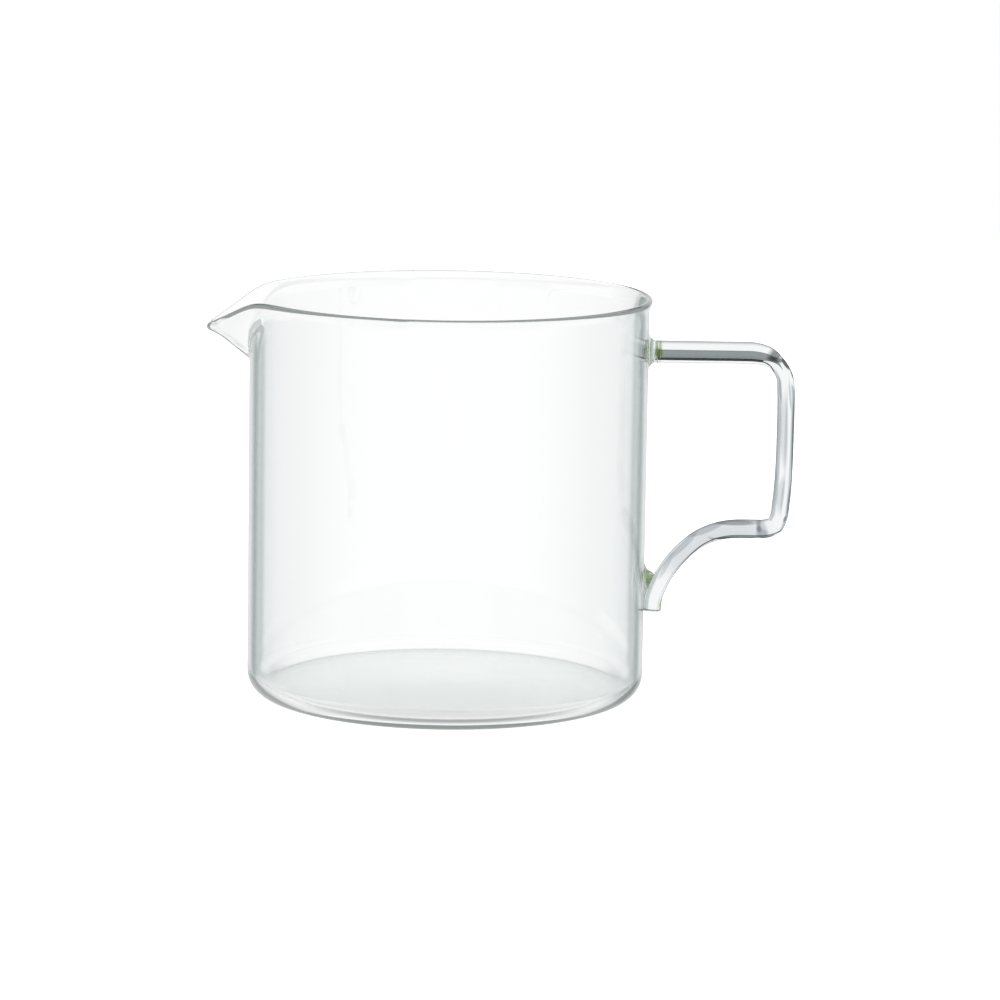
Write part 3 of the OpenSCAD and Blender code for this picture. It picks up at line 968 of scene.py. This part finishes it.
class SERVER_OT_stage(bpy.types.Operator):
    """Pale table, white surround, soft light and the camera"""

    bl_idname = "server.stage"
    bl_label = "Stage"

    def execute(self, context):
        colours = context.scene.server_colours
        start_clean()
        add_camera()
        add_world(colours.flag)
        start_clean()
        bpy.ops.mesh.primitive_circle_add(
            vertices=TABLE_STEPS, radius=TABLE_RADIUS, fill_type="NGON", location=(0, 0, 0)
        )
        table = bpy.context.object
        table.name = "table"
        material = bpy.data.materials.new("matt_white_card")
        material.use_nodes = True
        shader = material.node_tree.nodes["Principled BSDF"]
        shader.inputs["Base Color"].default_value = colours.table
        shader.inputs["Roughness"].default_value = TABLE_ROUGHNESS
        # Lit from below, as a light table is, so that the server stands in white with hardly a shadow
        shader.inputs["Emission Color"].default_value = colours.table
        shader.inputs["Emission Strength"].default_value = TABLE_GLOW
        table.data.materials.append(material)
        # What is seen through the glass comes from the surround, so that the table's far edge never shows
        table.visible_transmission = False
        table.visible_glossy = False
        for name, low, high, tone in CARDS:
            middle = ((low[0] + high[0]) / 2 * MM, CARDS_Y, (low[1] + high[1]) / 2 * MM)
            bpy.ops.mesh.primitive_plane_add(size=1, location=middle, rotation=(math.radians(90), 0, 0))
            card = bpy.context.object
            card.name = name
            card.scale = ((high[0] - low[0]) * MM, (high[1] - low[1]) * MM, 1)
            bpy.ops.object.transform_apply(location=False, rotation=True, scale=True)
            material = bpy.data.materials.new(name)
            material.use_nodes = True
            # Past that many skins a ray goes through the card, so that the body's wall shows nothing of it
            path = node(material.node_tree, "ShaderNodeLightPath")
            seen = node(
                material.node_tree,
                "ShaderNodeMath",
                {"operation": "LESS_THAN"},
                {1: CARD_SKINS},
                {0: path.outputs["Ray Depth"]},
            )
            shader = material.node_tree.nodes["Principled BSDF"]
            material.node_tree.links.new(seen.outputs["Value"], shader.inputs["Alpha"])
            shader.inputs["Base Color"].default_value = (0, 0, 0, 1)
            shader.inputs["Specular IOR Level"].default_value = 0.0
            shader.inputs["Emission Color"].default_value = linear(tone)
            shader.inputs["Emission Strength"].default_value = 1.0
            card.data.materials.append(material)
            card.visible_camera = card.visible_diffuse = card.visible_glossy = card.visible_shadow = False
        context.scene.view_settings.view_transform = "Standard"
        return {"FINISHED"}


class SERVER_PT_panel(bpy.types.Panel):
    """Lists the pieces of the server and their sizes"""

    bl_idname = "SERVER_PT_panel"
    bl_label = "Glass server"
    bl_space_type = "VIEW_3D"
    bl_region_type = "UI"
    bl_category = "Glass server"

    def draw(self, context):
        layout = self.layout
        for group in (context.scene.server_body, context.scene.server_handle, context.scene.server_colours):
            column = layout.column(align=True)
            for name in group.__annotations__:
                column.prop(group, name)
        for operator in (SERVER_OT_stage, SERVER_OT_glass_body, SERVER_OT_handle_rod, SERVER_OT_gathers):
            layout.operator(operator.bl_idname)


CLASSES = (
    ServerBodySizes,
    ServerHandleSizes,
    ServerColours,
    SERVER_OT_stage,
    SERVER_OT_glass_body,
    SERVER_OT_handle_rod,
    SERVER_OT_gathers,
    SERVER_PT_panel,
)


def register():
    for one in CLASSES:
        bpy.utils.register_class(one)
    bpy.types.Scene.server_body = PointerProperty(type=ServerBodySizes)
    bpy.types.Scene.server_handle = PointerProperty(type=ServerHandleSizes)
    bpy.types.Scene.server_colours = PointerProperty(type=ServerColours)


def unregister():
    del bpy.types.Scene.server_body
    del bpy.types.Scene.server_handle
    del bpy.types.Scene.server_colours
    for one in reversed(CLASSES):
        bpy.utils.unregister_class(one)


def main():
    """Builds the stage and the pieces in order."""
    register()
    bpy.ops.server.stage()
    bpy.ops.server.glass_body()
    bpy.ops.server.handle_rod()
    bpy.ops.server.gathers()
    start_clean()


if __name__ == "__main__":
    main()
